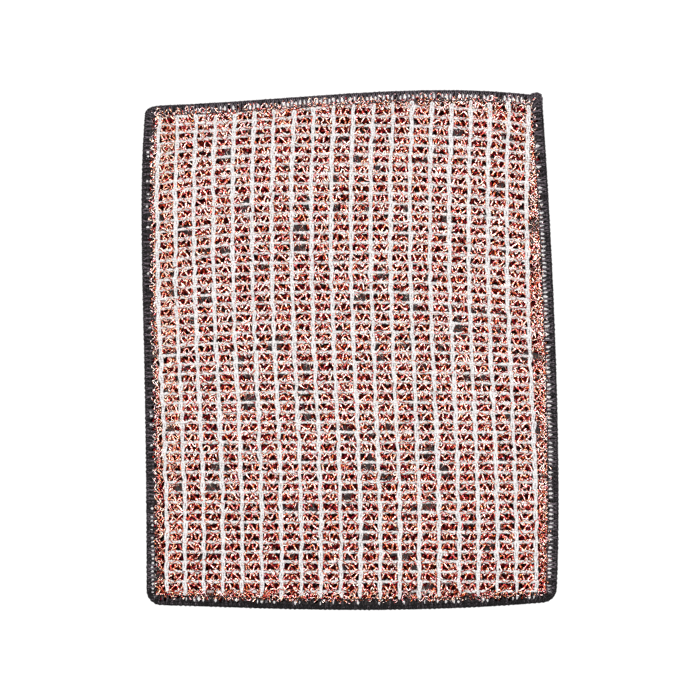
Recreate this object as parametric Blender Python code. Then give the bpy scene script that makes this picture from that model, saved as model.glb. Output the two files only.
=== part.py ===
"""Copper scrubbing cloth: a flat knitted pad with copper tinsel on both faces and an overlocked rim.

Units are metres and +Z is up. The cloth lies on z = 0 with its back face down, its long sides along Y.
The origin is on the underside, at the middle of the outline's bounding box.
"""

import math

import bmesh
import bpy

# Overall size of the knitted rectangle before it is pulled out of true
WIDTH = 0.140
LENGTH = 0.176

# How far each corner of the rectangle is pulled, x then y
CORNER_PULL = {
    "bottom_left": (0.0003, 0.0005),
    "bottom_right": (0.0008, 0.0017),
    "top_right": (-0.0039, -0.0007),
    "top_left": (0.0000, -0.0041),
}

# Half axes of the rounded corners, across then along
CORNER_RADII = {
    "bottom_left": (0.0050, 0.0050),
    "bottom_right": (0.0042, 0.0042),
    "top_right": (0.0030, 0.0030),
    "top_left": (0.0050, 0.0026),
}

# How far each side bulges, and the power that leans its widest place along the side
BOTTOM_BOW = 0.0024
BOTTOM_LEAN = 1.27
RIGHT_BOW = 0.0024
RIGHT_LEAN = 0.78
TOP_BOW = 0.0030
TOP_LEAN = 1.80
LEFT_BOW = 0.0015
LEFT_LEAN = 2.80

# Knitted chain stitches, which run up the cloth, drift to the left and come part of the way back
CHAIN_COUNT = 20
CHAIN_MARGIN = 0.00663
CHAIN_WIDTH = 0.00145
CHAIN_FLAT = 0.0009
CHAIN_HEIGHT = 0.0006
CHAIN_DRIFT_BOTTOM = 0.0002
CHAIN_DRIFT_PEAK = -0.0031
CHAIN_DRIFT_TOP = -0.0022
CHAIN_DRIFT_FROM = 0.12
CHAIN_DRIFT_TO = 0.72
CHAIN_RETURN_FROM = 0.82
CHAIN_SPREAD = 0.0010
CHAIN_SPREAD_EDGE = 1.35
CHAIN_STEPS = 8

# Courses, the rows that run across the cloth and droop towards its sides near the top
COURSE_COUNT = 50
COURSE_MARGIN_BOTTOM = 0.0051
COURSE_MARGIN_TOP = 0.0054
COURSE_SURGE = 0.00165
COURSE_SETTLE = 0.0006
COURSE_SURGE_TO = 0.80
COURSE_DROOP = 0.0033
COURSE_DROOP_POWER = 3
COURSE_DROOP_FROM = 0.30
COURSE_DROOP_TO = 0.75
COURSE_BEND = 0.035
COURSE_CROWDING = 0.8

# White course thread that ties the chains together
THREAD_WIDTH = 0.0011
THREAD_HEIGHT = 0.0004

# Copper net of each face
TINSEL_WIDTH = 0.0020
TINSEL_HEIGHT = 0.0004
TINSEL_WEB = 0.0012

# Dark lining between the two nets
LINING_HEIGHT = 0.0006

# Overlock stitch round the rim
LOOPER_WIDTH = 0.0031
LOOPER_HEIGHT = 0.0007
LOOPER_RIM = 0.0007
RIM_ROUND_LOW = (0.00035, 0.0003)
RIM_ROUND_HIGH = (0.0009, 0.0009)
NEEDLE_WIDTH = 0.0005
NEEDLE_HEIGHT = 0.0005

# Cut thread end at the top right corner
TAIL_LENGTH = 0.0042
TAIL_FROM_CORNER = 0.0030
TAIL_WIDTH = 0.0006
TAIL_HEIGHT = 0.0020
TAIL_STEPS = 4

# Clearance between pieces that touch on the real cloth
GAP = 0.0003

# Fineness of the outline
SIDE_STEPS = 8
CORNER_STEPS = 4

# Heights of the layers, stacked from the underside
BACK_CHAIN_LOW = 0.0
BACK_THREAD_LOW = BACK_CHAIN_LOW + CHAIN_HEIGHT + GAP
BACK_NET_LOW = BACK_THREAD_LOW + THREAD_HEIGHT + GAP
LINING_LOW = BACK_NET_LOW + TINSEL_HEIGHT + GAP
FRONT_NET_LOW = LINING_LOW + LINING_HEIGHT + GAP
FRONT_THREAD_LOW = FRONT_NET_LOW + TINSEL_HEIGHT + GAP
FRONT_CHAIN_LOW = FRONT_THREAD_LOW + THREAD_HEIGHT + GAP
THICKNESS = FRONT_CHAIN_LOW + CHAIN_HEIGHT

# Insets from the rim, worked out from what lies outside each piece
NET_INSET = LOOPER_RIM + GAP
NEEDLE_INSET = LOOPER_WIDTH + GAP
CHAIN_INSET = NEEDLE_INSET + NEEDLE_WIDTH + GAP
CHAIN_LIMIT = CHAIN_INSET + CHAIN_WIDTH / 2
COURSE_INSET = CHAIN_INSET + THREAD_WIDTH / 2


def smooth(value, start, end):
    """0 before start, 1 after end, and an even S between them."""
    share = min(max((value - start) / (end - start), 0.0), 1.0)
    return share * share * (3 - 2 * share)


def bulge(share, lean):
    """A side's bow, from 0 at its ends to 1 at its widest."""
    along = share**lean
    return 4 * along * (1 - along)


def pulled(x, y):
    """Carries a point of the true rectangle to its place on the pulled cloth."""
    u = min(max(x / WIDTH + 0.5, 0.0), 1.0)
    v = min(max(y / LENGTH + 0.5, 0.0), 1.0)
    shares = {
        "bottom_left": (1 - u) * (1 - v),
        "bottom_right": u * (1 - v),
        "top_right": u * v,
        "top_left": (1 - u) * v,
    }
    for corner, share in shares.items():
        x += CORNER_PULL[corner][0] * share
        y += CORNER_PULL[corner][1] * share
    x += RIGHT_BOW * bulge(v, RIGHT_LEAN) * u - LEFT_BOW * bulge(v, LEFT_LEAN) * (1 - u)
    y += TOP_BOW * bulge(u, TOP_LEAN) * v - BOTTOM_BOW * bulge(u, BOTTOM_LEAN) * (1 - v)
    return x, y


def flat_outline(inset):
    """The true rectangle's rounded outline at this inset, anticlockwise from the middle of its left side."""
    across = WIDTH / 2 - inset
    along = LENGTH / 2 - inset
    corners = (
        ("bottom_left", -1, -1, math.pi),
        ("bottom_right", 1, -1, 1.5 * math.pi),
        ("top_right", 1, 1, 0.0),
        ("top_left", -1, 1, 0.5 * math.pi),
    )
    arcs = []
    for name, side_x, side_y, start in corners:
        radius_x, radius_y = (max(radius - inset, GAP) for radius in CORNER_RADII[name])
        arc = []
        for step in range(CORNER_STEPS + 1):
            angle = start + step / CORNER_STEPS * math.pi / 2
            x = side_x * (across - radius_x) + radius_x * math.cos(angle)
            y = side_y * (along - radius_y) + radius_y * math.sin(angle)
            arc.append((x, y))
        arcs.append(arc)
    points = [(-across, 0.0)]
    for here, arc in enumerate(arcs):
        before = points[-1] if here == 0 else arcs[here - 1][-1]
        points += between(before, arc[0]) + arc
    return points + between(points[-1], points[0])


def between(start, end):
    """The points that split a straight side, without its ends."""
    shares = [step / SIDE_STEPS for step in range(1, SIDE_STEPS)]
    return [tuple(a + (b - a) * share for a, b in zip(start, end)) for share in shares]


def middle(values):
    return (min(values) + max(values)) / 2


RIM = [pulled(x, y) for x, y in flat_outline(0.0)]
CENTRE = (middle([x for x, y in RIM]), middle([y for x, y in RIM]))


def outline(inset):
    """The pulled cloth's outline this far inside its rim, about the origin."""
    points = [pulled(x, y) for x, y in flat_outline(inset)]
    return [(x - CENTRE[0], y - CENTRE[1]) for x, y in points]


def crossings(points, value, axis):
    """The first and last place where a closed outline crosses a line of constant x (axis 0) or y (axis 1)."""
    found = []
    for a, b in zip(points, points[1:] + points[:1]):
        if (a[axis] > value) != (b[axis] > value):
            share = (value - a[axis]) / (b[axis] - a[axis])
            found.append(a[1 - axis] + share * (b[1 - axis] - a[1 - axis]))
    return min(found), max(found)


def chain_x(chain, y):
    """Where a chain stitch lies across the cloth, at this height up it; none comes too near the needle thread."""
    pitch = (WIDTH - 2 * CHAIN_MARGIN) / (CHAIN_COUNT - 1)
    height = y / LENGTH + 0.5
    drift = CHAIN_DRIFT_BOTTOM
    drift += (CHAIN_DRIFT_PEAK - CHAIN_DRIFT_BOTTOM) * smooth(height, CHAIN_DRIFT_FROM, CHAIN_DRIFT_TO)
    drift += (CHAIN_DRIFT_TOP - CHAIN_DRIFT_PEAK) * smooth(height, CHAIN_RETURN_FROM, 1.0)
    across = 2 * chain / (CHAIN_COUNT - 1) - 1
    spread = CHAIN_SPREAD * (across - CHAIN_SPREAD_EDGE * across**5)
    x = (chain - (CHAIN_COUNT - 1) / 2) * pitch + drift + spread
    left = pulled(CHAIN_LIMIT - WIDTH / 2, y)[0] - CENTRE[0]
    right = pulled(WIDTH / 2 - CHAIN_LIMIT, y)[0] - CENTRE[0]
    return min(max(x, left), right)


def course_y(course, x):
    """Where a course lies up the cloth, at this place across it; by the rim the courses crowd together."""
    pitch = (LENGTH - COURSE_MARGIN_BOTTOM - COURSE_MARGIN_TOP) / (COURSE_COUNT - 1)
    level = COURSE_MARGIN_BOTTOM - LENGTH / 2 + course * pitch
    height = level / LENGTH + 0.5
    level += COURSE_SURGE * smooth(height, 0.0, COURSE_SURGE_TO)
    level -= COURSE_SETTLE * smooth(height, COURSE_SURGE_TO, 1.0)
    away = abs(x - CHAIN_DRIFT_TOP) / (WIDTH / 2 - CHAIN_MARGIN)
    share = smooth(level / LENGTH + 0.5, COURSE_DROOP_FROM, COURSE_DROOP_TO)
    y = level - COURSE_DROOP * away**COURSE_DROOP_POWER * share
    crowded = COURSE_CROWDING * pitch
    top = pulled(x, LENGTH / 2 - COURSE_INSET)[1] - CENTRE[1]
    bottom = pulled(x, COURSE_INSET - LENGTH / 2)[1] - CENTRE[1]
    return max(min(y, top - (COURSE_COUNT - 1 - course) * crowded), bottom + course * crowded)


def course_line(course, offset, stations):
    return [(x, course_y(course, x) + offset) for x in stations]


def net_line(course, offset, border):
    """One long edge of a copper bar: its ends on the border, and both sides of each web."""
    ends = []
    for side in (0, 1):
        x = (side - 0.5) * WIDTH
        for _ in range(4):
            x = crossings(border, course_y(course, x) + offset, 1)[side]
        ends.append(x)
    half = TINSEL_WEB / 2
    inner = [-COURSE_BEND - half, -COURSE_BEND + half, COURSE_BEND - half, COURSE_BEND + half]
    stations = [ends[0], ends[0] + TINSEL_WEB] + inner + [ends[1] - TINSEL_WEB, ends[1]]
    return course_line(course, offset, stations)


def net_polygons():
    """The copper net from above: a bar for each course, joined by four webs and closed by its border."""
    border = outline(NET_INSET)
    half = TINSEL_WIDTH / 2
    last = COURSE_COUNT - 1
    lower = [net_line(course, -half, border) for course in range(COURSE_COUNT)]
    upper = [net_line(course, half, border) for course in range(COURSE_COUNT)]
    webs = range(0, len(lower[0]), 2)
    lower[0] = [(x, y) for x, y in border if y < course_y(0, x) + half]
    upper[last] = [(x, y) for x, y in border[::-1] if y > course_y(last, x) - half]
    return lattice(lower, upper, [webs] * last)


def thread_polygons():
    """One white thread that runs to and fro from chain to chain, turning under the outermost two."""
    half = THREAD_WIDTH / 2
    lower, upper, turns = [], [], []
    for course in range(COURSE_COUNT):
        level = course_y(course, CHAIN_DRIFT_TOP)
        first, last = chain_x(0, level), chain_x(CHAIN_COUNT - 1, level)
        stations = [first - half, first + half, -COURSE_BEND, COURSE_BEND, last - half, last + half]
        lower.append(course_line(course, -half, stations))
        upper.append(course_line(course, half, stations))
        turns.append([len(stations) - 2] if course % 2 == 0 else [0])
    return lattice(lower, upper, turns)


def lattice(lower, upper, webs):
    """Bars between pairs of lines, joined to the next bar at the listed stations."""
    polygons = []
    for bar, (low, high) in enumerate(zip(lower, upper)):
        polygons.append(low + high[::-1])
        if bar + 1 < len(lower):
            above = lower[bar + 1]
            polygons += [[high[s], high[s + 1], above[s + 1], above[s]] for s in webs[bar]]
    return polygons


def finish(name, bm, colour):
    """Turns a bmesh into a named object of one material."""
    bmesh.ops.recalc_face_normals(bm, faces=bm.faces)
    mesh = bpy.data.meshes.new(name)
    bm.to_mesh(mesh)
    bm.free()
    mesh.materials.append(colour)
    made = bpy.data.objects.new(name, mesh)
    bpy.context.scene.collection.objects.link(made)
    return made


def slab(name, polygons, low, height, colour):
    """A flat plate of this height made of polygons that share their corners."""
    bm = bmesh.new()
    corners = {}
    for polygon in polygons:
        for x, y in polygon:
            if (x, y) not in corners:
                corners[(x, y)] = bm.verts.new((x, y, low))
        bm.faces.new([corners[point] for point in polygon])
    bmesh.ops.triangulate(bm, faces=bm.faces, ngon_method="BEAUTY")
    raised = bmesh.ops.extrude_face_region(bm, geom=bm.faces[:])["geom"]
    lifted = [item for item in raised if isinstance(item, bmesh.types.BMVert)]
    bmesh.ops.translate(bm, verts=lifted, vec=(0, 0, height))
    return finish(name, bm, colour)


def ring(name, profile, colour):
    """A band round the rim, from a closed profile of insets and heights."""
    bm = bmesh.new()
    loops = [[bm.verts.new((x, y, z)) for x, y in outline(inset)] for inset, z in profile]
    for here, there in zip(loops, loops[1:] + loops[:1]):
        for at in range(len(here)):
            after = (at + 1) % len(here)
            bm.faces.new((here[at], here[after], there[after], there[at]))
    return finish(name, bm, colour)


def chain(name, index, low, colour):
    """One knitted chain stitch as a flat-bottomed strand, which follows the drift up the cloth."""
    border = outline(CHAIN_INSET)
    start, end = crossings(border, chain_x(index, 0.0), 0)
    start = crossings(border, chain_x(index, start), 0)[0]
    end = crossings(border, chain_x(index, end), 0)[1]
    flat, wide = CHAIN_FLAT / 2, CHAIN_WIDTH / 2
    section = (
        (-flat, 0.0),
        (flat, 0.0),
        (wide, CHAIN_HEIGHT / 2),
        (flat, CHAIN_HEIGHT),
        (-flat, CHAIN_HEIGHT),
        (-wide, CHAIN_HEIGHT / 2),
    )
    bm = bmesh.new()
    loops = []
    for step in range(CHAIN_STEPS + 1):
        y = start + (end - start) * step / CHAIN_STEPS
        x = chain_x(index, y)
        loops.append([bm.verts.new((x + across, y, low + up)) for across, up in section])
    for here, there in zip(loops, loops[1:]):
        for at in range(len(section)):
            after = (at + 1) % len(section)
            bm.faces.new((here[at], here[after], there[after], there[at]))
    bm.faces.new(loops[0])
    bm.faces.new(loops[-1])
    return finish(name, bm, colour)


def looper_profile(face, outwards):
    """A looper thread's section, from the middle of the rim round to its flange; face is its outer level."""
    inner = face - outwards * LOOPER_HEIGHT
    middle_level = THICKNESS / 2 + outwards * GAP / 2
    low_in, low_down = RIM_ROUND_LOW
    high_in, high_down = RIM_ROUND_HIGH
    return (
        (0.0, middle_level),
        (0.0, face - outwards * high_down),
        (low_in, face - outwards * low_down),
        (high_in, face),
        (LOOPER_WIDTH, face),
        (LOOPER_WIDTH, inner),
        (LOOPER_RIM, inner),
        (LOOPER_RIM, middle_level),
    )


def tail(name, colour):
    """The cut end of the overlock thread, which lies along the top edge beside the right corner."""
    top = LENGTH / 2
    start = WIDTH / 2 - TAIL_FROM_CORNER
    stations = [start - TAIL_LENGTH * step / TAIL_STEPS for step in range(TAIL_STEPS + 1)]
    inner = [pulled(x, top + GAP) for x in stations]
    outer = [pulled(x, top + GAP + TAIL_WIDTH) for x in stations]
    polygon = [(x - CENTRE[0], y - CENTRE[1]) for x, y in inner + outer[::-1]]
    return slab(name, [polygon], (THICKNESS - TAIL_HEIGHT) / 2, TAIL_HEIGHT, colour)


def material(name, red, green, blue, roughness, metallic):
    """A Principled material of one colour."""
    made = bpy.data.materials.new(name)
    made.use_nodes = True
    made.diffuse_color = (red, green, blue, 1)
    shader = made.node_tree.nodes["Principled BSDF"]
    shader.inputs["Base Color"].default_value = (red, green, blue, 1)
    shader.inputs["Roughness"].default_value = roughness
    shader.inputs["Metallic"].default_value = metallic
    return made


def clear_scene():
    for item in list(bpy.data.objects):
        bpy.data.objects.remove(item)


def overlock(colour):
    """The overlock stitch: a looper thread on each face, and the needle thread inside the front one."""
    flange_low = FRONT_NET_LOW + TINSEL_HEIGHT + GAP
    front_face = flange_low + LOOPER_HEIGHT
    ring("front_looper_thread", looper_profile(front_face, 1), colour)
    ring("back_looper_thread", looper_profile(THICKNESS - front_face, -1), colour)
    needle_top = flange_low + NEEDLE_HEIGHT
    needle_inner = NEEDLE_INSET + NEEDLE_WIDTH
    section = (
        (NEEDLE_INSET, flange_low),
        (needle_inner, flange_low),
        (needle_inner, needle_top),
        (NEEDLE_INSET, needle_top),
    )
    ring("needle_thread", section, colour)


def build():
    clear_scene()
    white_yarn = material("white_yarn", 0.82, 0.79, 0.77, 0.85, 0.0)
    copper_tinsel = material("copper_tinsel", 0.80, 0.42, 0.30, 0.30, 0.95)
    dark_lining = material("dark_lining", 0.075, 0.065, 0.066, 0.90, 0.0)
    black_thread = material("black_thread", 0.030, 0.024, 0.028, 0.75, 0.0)

    slab("core_lining", [outline(NET_INSET)], LINING_LOW, LINING_HEIGHT, dark_lining)

    net = net_polygons()
    slab("back_copper_net", net, BACK_NET_LOW, TINSEL_HEIGHT, copper_tinsel)
    slab("front_copper_net", net, FRONT_NET_LOW, TINSEL_HEIGHT, copper_tinsel)

    thread = thread_polygons()
    slab("back_course_thread", thread, BACK_THREAD_LOW, THREAD_HEIGHT, white_yarn)
    slab("front_course_thread", thread, FRONT_THREAD_LOW, THREAD_HEIGHT, white_yarn)

    for index in range(CHAIN_COUNT):
        chain(f"back_chain_{index + 1:02d}", index, BACK_CHAIN_LOW, white_yarn)
        chain(f"front_chain_{index + 1:02d}", index, FRONT_CHAIN_LOW, white_yarn)

    overlock(black_thread)
    tail("overlock_tail", black_thread)


build()
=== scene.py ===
# Copper scrubbing cloth seen from straight above: copper tinsel knitted over a dark lining,
# caught down by white course threads and chain stitches, with a black overlocked rim.
import math
import random

import bmesh
import bpy
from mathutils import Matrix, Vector


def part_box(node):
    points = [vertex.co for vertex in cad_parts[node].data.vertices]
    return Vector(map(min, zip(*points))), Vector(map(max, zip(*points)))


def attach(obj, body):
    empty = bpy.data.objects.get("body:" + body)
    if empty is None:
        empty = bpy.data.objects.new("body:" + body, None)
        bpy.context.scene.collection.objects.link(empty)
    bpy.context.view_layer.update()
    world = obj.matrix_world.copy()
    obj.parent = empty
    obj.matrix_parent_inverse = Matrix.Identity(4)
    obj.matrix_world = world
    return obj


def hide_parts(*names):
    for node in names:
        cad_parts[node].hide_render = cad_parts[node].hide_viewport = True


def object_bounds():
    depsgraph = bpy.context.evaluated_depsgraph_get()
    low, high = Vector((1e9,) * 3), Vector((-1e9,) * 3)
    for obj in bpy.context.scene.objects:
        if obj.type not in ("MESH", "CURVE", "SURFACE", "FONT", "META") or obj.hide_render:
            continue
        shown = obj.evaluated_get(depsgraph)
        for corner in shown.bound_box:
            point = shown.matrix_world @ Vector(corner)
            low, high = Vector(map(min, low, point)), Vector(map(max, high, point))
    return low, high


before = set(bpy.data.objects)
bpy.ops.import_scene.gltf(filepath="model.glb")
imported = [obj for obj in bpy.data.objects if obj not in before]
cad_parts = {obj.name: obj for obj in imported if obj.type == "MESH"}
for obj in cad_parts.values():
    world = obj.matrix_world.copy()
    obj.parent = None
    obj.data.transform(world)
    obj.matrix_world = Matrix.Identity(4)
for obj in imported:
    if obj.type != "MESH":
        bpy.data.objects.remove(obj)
cadLow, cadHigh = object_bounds()
print("frame loaded, object box", [round(v * 1000, 1) for v in cadHigh - cadLow], "mm")

mm = 0.001
fullTurn = 2 * math.pi

# The shape of the cloth, as on the solids: the true rectangle, how its corners are pulled and its
# sides bow, and where the chains and courses run. Corners go bottom left, bottom right, top right
# and top left. A bow is its depth and how far it leans towards one end.
cloth = {
    "width": 0.140,
    "length": 0.176,
    "pulls": ((0.0003, 0.0005), (0.0008, 0.0017), (-0.0039, -0.0007), (0.0, -0.0041)),
    "radii": ((0.0050, 0.0050), (0.0042, 0.0042), (0.0030, 0.0030), (0.0050, 0.0026)),
    "leastRadius": 0.0003,
    "bottomBow": (0.0024, 1.27),
    "rightBow": (0.0024, 0.78),
    "topBow": (0.0030, 1.80),
    "leftBow": (0.0015, 2.80),
    "chains": 20,
    "chainMargin": 0.00663,
    "chainLimit": 0.0046,
    # the chains drift to the left on their way up and come back a little: how far at the bottom, at
    # most and at the top, and between which heights. They crowd towards the sides, and the last one
    # stands apart.
    "drift": (0.0002, -0.0031, -0.0022),
    "driftUp": (0.12, 0.72),
    "driftBack": (0.82, 1.0),
    "spread": (0.0010, 1.35, 5),
    "last": (0.0007, 20),
    "courses": 50,
    "marginBottom": 0.0051,
    "marginTop": 0.0054,
    "courseInset": 0.0042,
    "crowding": 0.8,
    # the courses lie further apart low down, droop towards the sides high up, and the topmost
    # lift on the left
    "surge": 0.00165,
    "settle": 0.0006,
    "surgeTo": 0.80,
    "droop": (0.0033, 3),
    "droopUp": (0.30, 0.75),
    "lift": 0.0009,
    "liftCourses": (5, 2),
    "liftAcross": (0.005, 0.035),
}
chainPitch = (cloth["width"] - 2 * cloth["chainMargin"]) / (cloth["chains"] - 1)
coursePitch = (cloth["length"] - cloth["marginBottom"] - cloth["marginTop"]) / (cloth["courses"] - 1)

# Levels of the layers, read from the solids, and which way is out on each face
liningLow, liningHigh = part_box("core_lining")
faces = {
    "front": {
        "out": 1,
        "seedShift": 0,
        "skin": cadHigh.z,
        "net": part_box("front_copper_net")[1].z,
        "thread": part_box("front_course_thread")[1].z,
        "rim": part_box("front_looper_thread")[1].z,
    },
    "back": {
        "out": -1,
        "seedShift": 2,
        "skin": 0.0,
        "net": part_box("back_copper_net")[0].z,
        "thread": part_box("back_course_thread")[0].z,
        "rim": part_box("back_looper_thread")[0].z,
    },
}
rimTop = faces["front"]["rim"]
rimBottom = faces["back"]["rim"]
rimMiddle = (rimTop + rimBottom) / 2


def smooth(value, start, end):
    share = min(max((value - start) / (end - start), 0.0), 1.0)
    return share * share * (3 - 2 * share)


def bulge(share, bow):
    along = share ** bow[1]
    return bow[0] * 4 * along * (1 - along)


def pulled(x, y):
    # carries a point of the true rectangle to its place on the pulled cloth
    u = min(max(x / cloth["width"] + 0.5, 0.0), 1.0)
    v = min(max(y / cloth["length"] + 0.5, 0.0), 1.0)
    for pull, share in zip(cloth["pulls"], ((1 - u) * (1 - v), u * (1 - v), u * v, (1 - u) * v)):
        x += pull[0] * share
        y += pull[1] * share
    x += bulge(v, cloth["rightBow"]) * u - bulge(v, cloth["leftBow"]) * (1 - u)
    y += bulge(u, cloth["topBow"]) * v - bulge(u, cloth["bottomBow"]) * (1 - v)
    return x, y


def cornerRadii(corner, inset):
    return [max(radius - inset, cloth["leastRadius"]) for radius in cloth["radii"][corner]]


def flatOutline(inset, sideSteps=8, cornerSteps=4):
    # the true rectangle's rounded outline, anticlockwise from the middle of its left side
    across = cloth["width"] / 2 - inset
    along = cloth["length"] / 2 - inset
    points = [(-across, 0.0)]
    # each corner's side of the middle, and the quarter turn at which its arc starts
    for corner, (sideX, sideY, quarter) in enumerate(((-1, -1, 2), (1, -1, 3), (1, 1, 0), (-1, 1, 1))):
        radiusX, radiusY = cornerRadii(corner, inset)
        arc = []
        for step in range(cornerSteps + 1):
            angle = (quarter + step / cornerSteps) * math.pi / 2
            x = sideX * (across - radiusX) + radiusX * math.cos(angle)
            y = sideY * (along - radiusY) + radiusY * math.sin(angle)
            arc.append((x, y))
        points += between(points[-1], arc[0], sideSteps) + arc
    return points + between(points[-1], points[0], sideSteps)


def between(start, end, steps):
    shares = [step / steps for step in range(1, steps)]
    return [tuple(a + (b - a) * share for a, b in zip(start, end)) for share in shares]


rimPoints = [pulled(x, y) for x, y in flatOutline(0.0)]
clothCentre = [(min(values) + max(values)) / 2 for values in zip(*rimPoints)]


def outline(inset, sideSteps=24, cornerSteps=8):
    # the pulled cloth's outline this far inside its rim, finely stepped
    points = [pulled(x, y) for x, y in flatOutline(inset, sideSteps, cornerSteps)]
    return [(x - clothCentre[0], y - clothCentre[1]) for x, y in points]


def ringAt(inset, level):
    return [(x, y, level) for x, y in outline(inset)]


def steps(points):
    # from each point of a closed outline to the next
    return zip(points, points[1:] + points[:1])


def sideOf(start, end):
    # which side of the cloth a step of its outline runs along
    across, along = end[0] - start[0], end[1] - start[1]
    if abs(along) > abs(across):
        return "right" if along > 0 else "left"
    return "bottom" if across > 0 else "top"


def sideRuns(inset, side, level):
    # the parts of an outline that run along one side, at a level
    points = outline(inset)
    runs = []
    run = []
    for start, end in steps(points):
        if sideOf(start, end) == side:
            run = run or [(*start, level)]
            run.append((*end, level))
        elif run:
            runs.append(run)
            run = []
    return runs + ([run] if run else [])


def crossings(points, value, axis):
    # first and last place where a closed outline crosses a line of constant x (axis 0) or y (axis 1)
    found = []
    for a, b in steps(points):
        if (a[axis] > value) != (b[axis] > value):
            share = (value - a[axis]) / (b[axis] - a[axis])
            found.append(a[1 - axis] + share * (b[1 - axis] - a[1 - axis]))
    return (min(found), max(found)) if found else None


def chainX(chain, y):
    # where a chain is at this height
    height = y / cloth["length"] + 0.5
    low, peak, top = cloth["drift"]
    drift = low + (peak - low) * smooth(height, *cloth["driftUp"])
    drift += (top - peak) * smooth(height, *cloth["driftBack"])
    across = 2 * chain / (cloth["chains"] - 1) - 1
    spread, edge, power = cloth["spread"]
    x = (chain - (cloth["chains"] - 1) / 2) * chainPitch + drift + spread * (across - edge * across ** power)
    shift, power = cloth["last"]
    x += shift * max(across, 0.0) ** power
    left = pulled(cloth["chainLimit"] - cloth["width"] / 2, y)[0] - clothCentre[0]
    right = pulled(cloth["width"] / 2 - cloth["chainLimit"], y)[0] - clothCentre[0]
    return min(max(x, left), right)


def courseY(course, x):
    # where a course is at this place across the cloth
    level = cloth["marginBottom"] - cloth["length"] / 2 + course * coursePitch
    height = level / cloth["length"] + 0.5
    level += cloth["surge"] * smooth(height, 0.0, cloth["surgeTo"])
    level -= cloth["settle"] * smooth(height, cloth["surgeTo"], 1.0)
    away = abs(x - cloth["drift"][2]) / (cloth["width"] / 2 - cloth["chainMargin"])
    droop, power = cloth["droop"]
    y = level - droop * away ** power * smooth(level / cloth["length"] + 0.5, *cloth["droopUp"])
    lifted = [cloth["courses"] - count for count in cloth["liftCourses"]]
    y += cloth["lift"] * smooth(course, *lifted) * smooth(-x, *cloth["liftAcross"])
    crowded = cloth["crowding"] * coursePitch
    top = pulled(x, cloth["length"] / 2 - cloth["courseInset"])[1] - clothCentre[1]
    bottom = pulled(x, cloth["courseInset"] - cloth["length"] / 2)[1] - clothCentre[1]
    return max(min(y, top - (cloth["courses"] - 1 - course) * crowded), bottom + course * crowded)


def courseLine(course, start, end, step):
    count = max(int((end - start) / step), 2)
    stations = [start + (end - start) * n / count for n in range(count + 1)]
    return [(x, courseY(course, x), 0.0) for x in stations]


# Helpers for node trees. They work on the tree on the bench, and most add a node and return its output.
bench = {"tree": None}


def link(output, entry):
    bench["tree"].links.new(output, entry)


def wire(kind, values=None, **settings):
    made = bench["tree"].nodes.new(kind)
    for name, setting in settings.items():
        setattr(made, name, setting)
    for socket, value in (values or {}).items():
        entry = made.inputs[socket]
        if isinstance(value, bpy.types.NodeSocket):
            link(value, entry)
        else:
            entry.default_value = value
    return made.outputs


def calc(operation, first, second=0.0, third=0.0):
    return wire("ShaderNodeMath", {0: first, 1: second, 2: third}, operation=operation)[0]


def plus(first, second):
    return calc("ADD", first, second)


def times(first, second):
    return calc("MULTIPLY", first, second)


def timesPlus(first, factor, extra):
    return calc("MULTIPLY_ADD", first, factor, extra)


def vector(operation, first, second):
    return wire("ShaderNodeVectorMath", {0: first, 1: second}, operation=operation)[0]


def scaled(first, factor):
    return wire("ShaderNodeVectorMath", {0: first, 3: factor}, operation="SCALE")[0]


def join(x=0.0, y=0.0, z=0.0):
    return wire("ShaderNodeCombineXYZ", {0: x, 1: y, 2: z})[0]


def split(value):
    return wire("ShaderNodeSeparateXYZ", {0: value})


def ramp(value, fromLow, fromHigh, low, high):
    values = {0: value, 1: fromLow, 2: fromHigh, 3: low, 4: high}
    return wire("ShaderNodeMapRange", values, interpolation_type="SMOOTHSTEP")[0]


def chance(low, high, seed):
    return wire("FunctionNodeRandomValue", {2: low, 3: high, 8: seed}, data_type="FLOAT")[1]


def eitherWay(reach, seed):
    # a random number from -reach to reach
    return chance(times(reach, -1.0), reach, seed)


def manySeeds(size, step, count):
    return [plus(size["seed"], step * n) for n in range(count)]


noise = {
    "seedShift": (7.31, 3.17),  # how far each seed carries it across and along
    "detail": 2.0,
    "strength": 4.0,
}


def drifting(place, size, seed, extra=0.0):
    # smooth noise from about -1 to 1 on each axis
    across, along = noise["seedShift"]
    shift = join(times(seed, across), times(seed, along), extra)
    place = vector("ADD", scaled(place, size), shift)
    wave = wire("ShaderNodeTexNoise", {0: place, 2: 1.0, 3: noise["detail"]})[1]
    return scaled(vector("SUBTRACT", wave, (0.5, 0.5, 0.5)), noise["strength"])


def uneven(wave, share, least=0.5):
    # a width that swells and thins by this share
    return calc("MAXIMUM", timesPlus(wave, share, 1.0), least)


def stored(geometry, label, value, kind="FLOAT", domain="POINT"):
    values = {0: geometry, 2: label, 3: value}
    return wire("GeometryNodeStoreNamedAttribute", values, data_type=kind, domain=domain)[0]


def carried(label):
    return wire("GeometryNodeInputNamedAttribute", {0: label}, data_type="FLOAT")[0]


def position():
    return wire("GeometryNodeInputPosition")[0]


def tangent():
    return wire("GeometryNodeInputTangent")[0]


def moved(geometry, offset):
    return wire("GeometryNodeSetPosition", {0: geometry, 3: offset})[0]


def circle(points, radius):
    return wire("GeometryNodeCurvePrimitiveCircle", {0: points, 4: radius})[0]


def loopTurn():
    # how far round a loop each of its points is, as an angle
    return times(wire("GeometryNodeSplineParameter")[0], fullTurn)


def shapedLoop(size, x, y, z):
    # a closed tube whose points are at these places
    values = {0: circle(size["points"], 1.0), 2: join(x, y, z)}
    loop = wire("GeometryNodeSetPosition", values)[0]
    return tube(loop, size["radius"], size["sides"])


def stepped(curve, step):
    return wire("GeometryNodeResampleCurve", {0: curve, 3: step}, mode="LENGTH")[0]


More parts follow.
